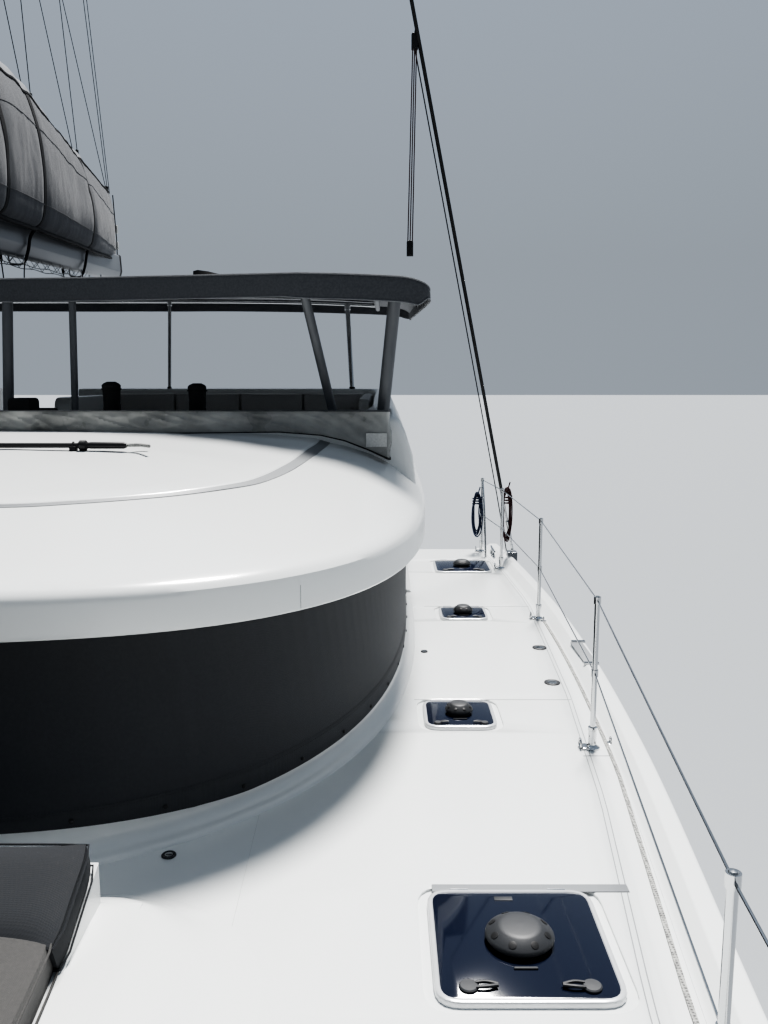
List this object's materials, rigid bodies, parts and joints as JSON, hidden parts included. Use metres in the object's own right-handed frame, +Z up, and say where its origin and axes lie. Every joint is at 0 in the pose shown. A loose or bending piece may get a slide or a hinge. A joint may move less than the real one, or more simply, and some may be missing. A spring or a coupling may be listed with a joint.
{
  "type": "sailing catamaran",
  "caption": "Cruising sailing catamaran with decked hulls, wrap-round saloon, sunken upper cockpit under a bimini, stayed mast, and boom with its sail in the bag.",
  "frame": {"origin": "on the centreline amidships at the waterline", "axes": "+Z up, bows along -Y, port side along +X"},
  "size_m": [7.936, 14.0032, 21.75],
  "materials": {
    "gelcoat": "glossy white moulded gelcoat, fine non-skid grain on the decks",
    "antifouling": "matt dark antifouling paint",
    "acrylic": "dark tinted acrylic",
    "cover": "charcoal woven sun cover",
    "cushion": "grey coated outdoor fabric",
    "canopy": "dark grey acrylic canvas with white piping",
    "vinyl": "crinkled grey translucent vinyl",
    "bag": "dark grey canvas",
    "sailcloth": "furled white sailcloth with a grey strip",
    "stainless": "polished stainless steel",
    "aluminium": "satin anodised aluminium",
    "grey_tube": "dark grey sleeved tube",
    "black": "black plastic and sleeving",
    "bronze": "bronze, slightly dull",
    "net": "white knotted net",
    "teak": "satin oiled hardwood"
  },
  "bodies": {
    "boat": {"hull_port": "gelcoat", "hull_starboard": "gelcoat", "saildrive_port": "grey_tube", "saildrive_starboard": "grey_tube", "bridgedeck": "gelcoat", "lounge_back_port": "cushion", "lounge_seat_port": "cushion", "lounge_back_starboard": "cushion", "lounge_seat_starboard": "cushion", "crossbeam": "aluminium", "longeron": "gelcoat", "trampoline_port": "net", "trampoline_starboard": "net", "anchor_gear": "stainless", "guard_rail_port": "stainless", "guard_rail_starboard": "stainless", "cabin_walls": "gelcoat", "cabin_glass": "acrylic", "window_cover": "cover", "cabin_roof": "gelcoat", "windscreen": "vinyl", "boat_hook": "black", "winch_inner": "black", "winch_outer": "black", "helm_console": "gelcoat", "helm_seat": "cushion", "upper_bench": "gelcoat", "upper_bench_cushion": "cushion", "upper_back_cushion": "cushion", "upper_stair": "stainless", "bimini_canopy": "canopy", "bimini_frame": "grey_tube", "mast": "aluminium", "shroud_port": "black", "shroud_starboard": "black", "headsail": "sailcloth", "saloon_furniture": "teak", "cockpit_bench": "gelcoat", "cockpit_cushion": "cushion", "cockpit_table": "teak"},
    "hatch_forward_port": {"hatch_forward_port": "acrylic"},
    "hatch_middle_port": {"hatch_middle_port": "acrylic"},
    "hatch_after_port": {"hatch_after_port": "acrylic"},
    "hatch_stern_port": {"hatch_stern_port": "acrylic"},
    "hatch_forward_starboard": {"hatch_forward_starboard": "acrylic"},
    "hatch_middle_starboard": {"hatch_middle_starboard": "acrylic"},
    "hatch_after_starboard": {"hatch_after_starboard": "acrylic"},
    "hatch_stern_starboard": {"hatch_stern_starboard": "acrylic"},
    "locker_lid_port": {"locker_lid_port": "gelcoat"},
    "locker_lid_starboard": {"locker_lid_starboard": "gelcoat"},
    "propeller_port": {"propeller_port": "bronze"},
    "propeller_starboard": {"propeller_starboard": "bronze"},
    "rudder_port": {"rudder_port": "antifouling"},
    "rudder_starboard": {"rudder_starboard": "antifouling"},
    "steering_wheel": {"steering_wheel": "stainless"},
    "boom": {"boom": "aluminium", "sail_bag": "bag"},
    "saloon_door": {"saloon_door": "acrylic"},
    "swim_ladder": {"swim_ladder": "stainless"}
  },
  "joints": [
    {"name": "hatch_forward_port_hinge", "type": "hinge", "parent": "boat", "child": "hatch_forward_port", "pos_m": [3.11, -0.61, 1.7033], "axis": [-1, 0, 0], "range_deg": [0, 85]},
    {"name": "hatch_middle_port_hinge", "type": "hinge", "parent": "boat", "child": "hatch_middle_port", "pos_m": [3.08, 1.13, 1.7033], "axis": [-1, 0, 0], "range_deg": [0, 85]},
    {"name": "hatch_after_port_hinge", "type": "hinge", "parent": "boat", "child": "hatch_after_port", "pos_m": [3.27, 3.04, 1.7033], "axis": [-1, 0, 0], "range_deg": [0, 85]},
    {"name": "hatch_stern_port_hinge", "type": "hinge", "parent": "boat", "child": "hatch_stern_port", "pos_m": [3.4, 4.71, 1.7033], "axis": [-1, 0, 0], "range_deg": [0, 85]},
    {"name": "hatch_forward_starboard_hinge", "type": "hinge", "parent": "boat", "child": "hatch_forward_starboard", "pos_m": [-3.11, -0.61, 1.7033], "axis": [-1, 0, 0], "range_deg": [0, 85]},
    {"name": "hatch_middle_starboard_hinge", "type": "hinge", "parent": "boat", "child": "hatch_middle_starboard", "pos_m": [-3.08, 1.13, 1.7033], "axis": [-1, 0, 0], "range_deg": [0, 85]},
    {"name": "hatch_after_starboard_hinge", "type": "hinge", "parent": "boat", "child": "hatch_after_starboard", "pos_m": [-3.27, 3.04, 1.7033], "axis": [-1, 0, 0], "range_deg": [0, 85]},
    {"name": "hatch_stern_starboard_hinge", "type": "hinge", "parent": "boat", "child": "hatch_stern_starboard", "pos_m": [-3.4, 4.71, 1.7033], "axis": [-1, 0, 0], "range_deg": [0, 85]},
    {"name": "locker_lid_port_hinge", "type": "hinge", "parent": "boat", "child": "locker_lid_port", "pos_m": [1.15, -2.5, 1.712], "axis": [-1, 0, 0], "range_deg": [0, 85]},
    {"name": "locker_lid_starboard_hinge", "type": "hinge", "parent": "boat", "child": "locker_lid_starboard", "pos_m": [-1.15, -2.5, 1.712], "axis": [-1, 0, 0], "range_deg": [0, 85]},
    {"name": "propeller_port_shaft", "type": "hinge", "parent": "boat", "child": "propeller_port", "pos_m": [3.05, 4.94, -0.87], "axis": [0, 1, 0], "continuous": true},
    {"name": "propeller_starboard_shaft", "type": "hinge", "parent": "boat", "child": "propeller_starboard", "pos_m": [-3.05, 4.94, -0.87], "axis": [0, 1, 0], "continuous": true},
    {"name": "rudder_port_stock", "type": "hinge", "parent": "boat", "child": "rudder_port", "pos_m": [3.05, 5.95, -0.6], "axis": [0, 0, 1], "range_deg": [-35, 35]},
    {"name": "rudder_starboard_stock", "type": "hinge", "parent": "boat", "child": "rudder_starboard", "pos_m": [-3.05, 5.95, -0.6], "axis": [0, 0, 1], "range_deg": [-35, 35]},
    {"name": "steering_wheel_axle", "type": "hinge", "parent": "boat", "child": "steering_wheel", "pos_m": [-1.2, 2.72, 3.15], "axis": [0, 1, 0], "range_deg": [-540, 540]},
    {"name": "boom_gooseneck", "type": "hinge", "parent": "boat", "child": "boom", "pos_m": [0, 1.56, 4.33], "axis": [0, 0, 1], "range_deg": [-42, 34]},
    {"name": "saloon_door_slide", "type": "slide", "parent": "boat", "child": "saloon_door", "axis": [-1, 0, 0], "range_m": [0, 0.78]},
    {"name": "swim_ladder_hinge", "type": "hinge", "parent": "boat", "child": "swim_ladder", "pos_m": [-3.03, 6.985, 0.5], "axis": [-1, 0, 0], "range_deg": [0, 180]}
  ],
  "couplings": [
    {"joint": "rudder_starboard_stock", "follows": "rudder_port_stock", "ratio": 1},
    {"joint": "steering_wheel_axle", "follows": "rudder_port_stock", "ratio": 15.4}
  ]
}
